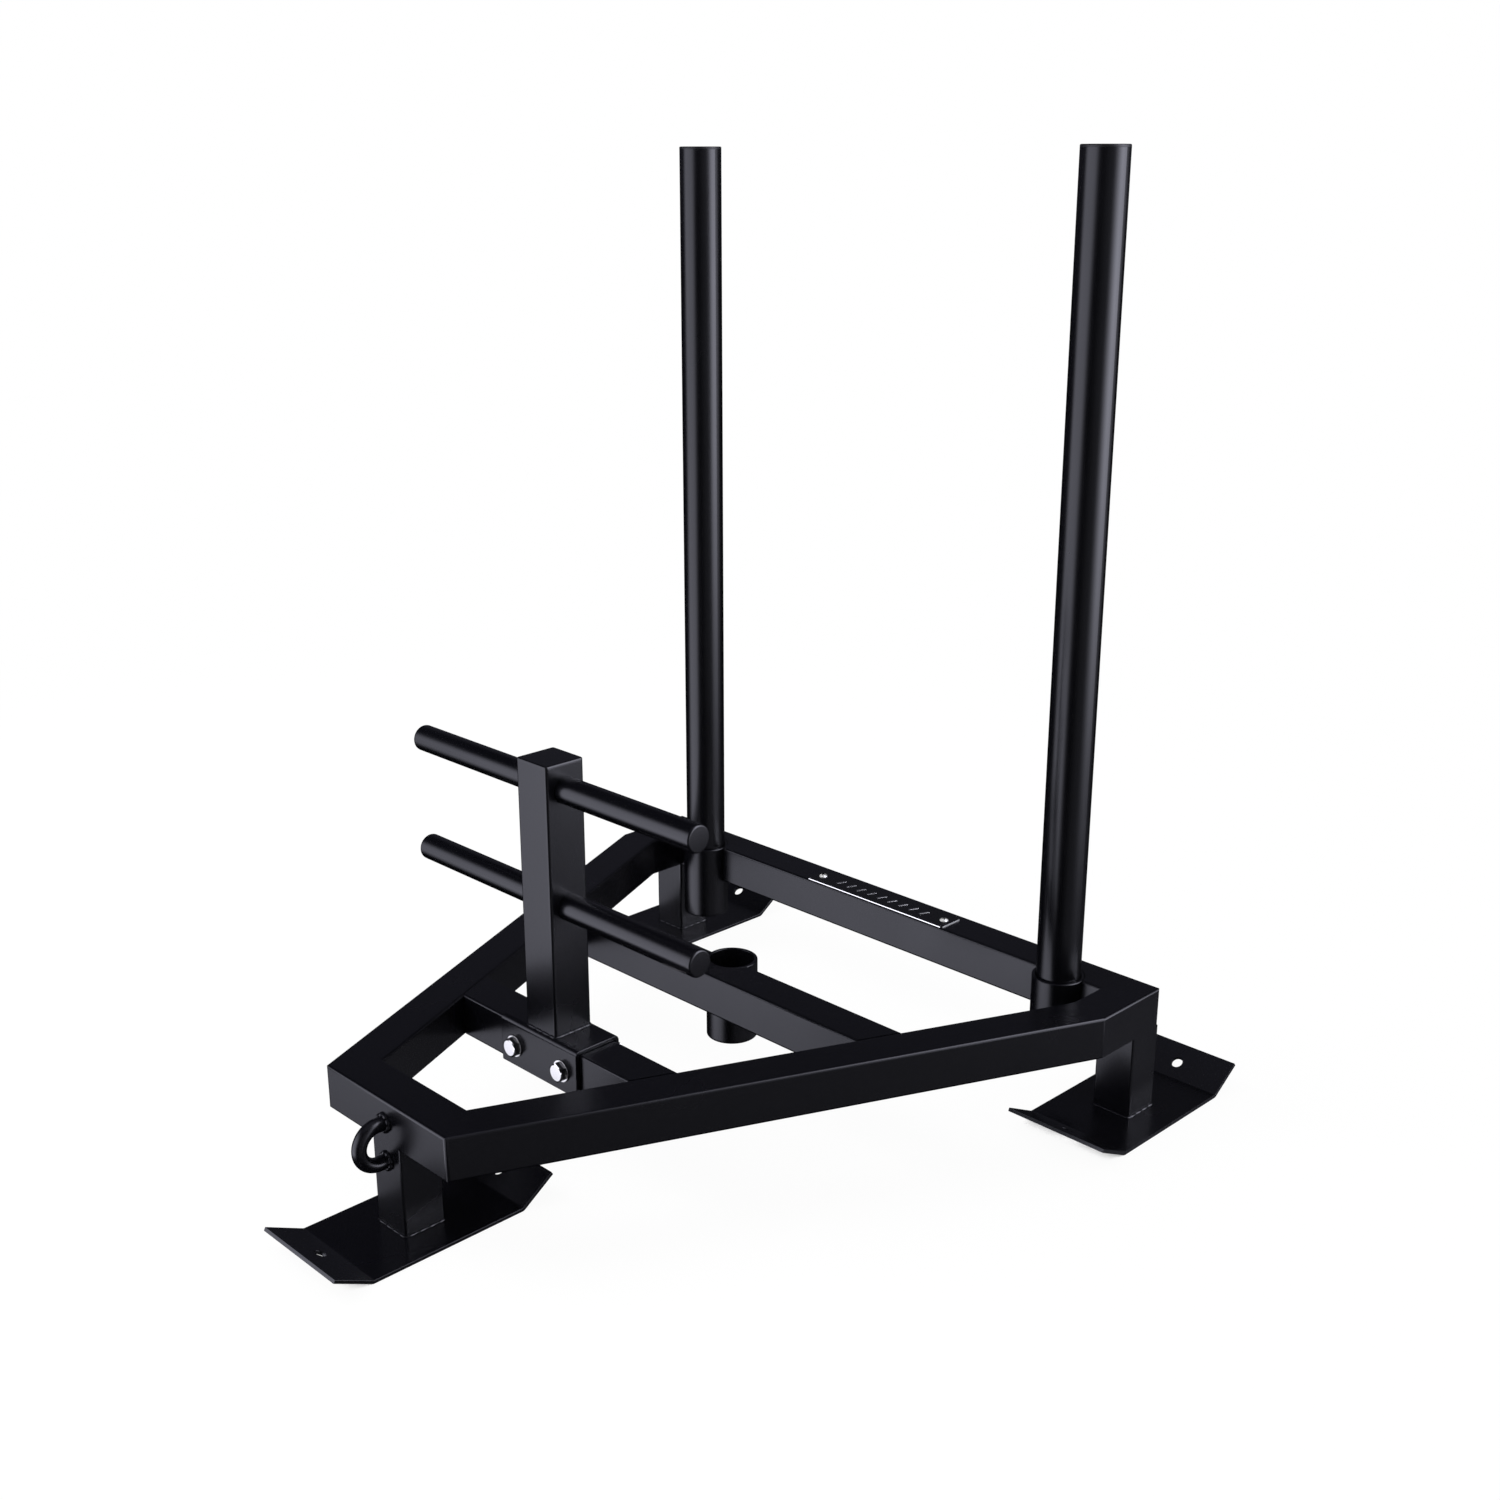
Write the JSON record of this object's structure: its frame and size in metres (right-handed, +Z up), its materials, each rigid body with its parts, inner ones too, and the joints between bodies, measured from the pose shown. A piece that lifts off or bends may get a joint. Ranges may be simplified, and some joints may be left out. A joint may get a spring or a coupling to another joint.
{
  "type": "push sled",
  "caption": "Gym push sled: square-tube frame on bent skids, lift-out upright push poles, a central weight sleeve, a bolted handle post with cross bars, and a tow ring.",
  "frame": {"origin": "on the floor, below the middle of the whole sled", "axes": "+X across the sled to its right as seen from behind facing the nose, +Y from the nose to the rear bar, +Z up along the push poles"},
  "size_m": [0.857, 0.9662, 1.03],
  "materials": {
    "black_coat": "smooth semi-gloss black powder coat",
    "cap_black": "satin black moulded plastic",
    "bright_zinc": "bright zinc plating",
    "plate_black": "gloss black with bright bevelled edges"
  },
  "bodies": {
    "frame": {"nose_bar": "black_coat", "side_rail_left": "black_coat", "side_rail_right": "black_coat", "corner_piece_left": "black_coat", "corner_piece_right": "black_coat", "rear_bar": "black_coat", "middle_bar": "black_coat", "front_bar": "black_coat", "leg_front": "black_coat", "leg_rear_left": "black_coat", "leg_rear_right": "black_coat", "skid_front": "black_coat", "skid_rear_left": "black_coat", "skid_rear_right": "black_coat", "weight_sleeve": "black_coat", "pole_socket_left": "black_coat", "pole_socket_right": "black_coat", "socket_discs": "black_coat", "handle_bracket": "black_coat", "handle_post": "black_coat", "post_cap": "black_coat", "handle_bar_upper": "black_coat", "handle_bar_lower": "black_coat", "handle_bar_caps": "black_coat", "bracket_bolts": "bright_zinc", "bracket_washers": "bright_zinc", "bracket_nuts": "bright_zinc", "tow_ring": "black_coat", "nameplate": "plate_black", "nameplate_screws": "bright_zinc", "leg_weld_beads": "black_coat", "post_weld_bead": "black_coat", "ring_weld_beads": "black_coat"},
    "pole_left": {"push_pole_left": "black_coat", "pole_cap_left": "cap_black"},
    "pole_right": {"push_pole_right": "black_coat", "pole_cap_right": "cap_black"}
  },
  "joints": [
    {"name": "pole_left_lift", "type": "slide", "parent": "frame", "child": "pole_left", "axis": [0, 0, 1], "range_m": [0, 0.12]},
    {"name": "pole_right_lift", "type": "slide", "parent": "frame", "child": "pole_right", "axis": [0, 0, 1], "range_m": [0, 0.12]}
  ]
}
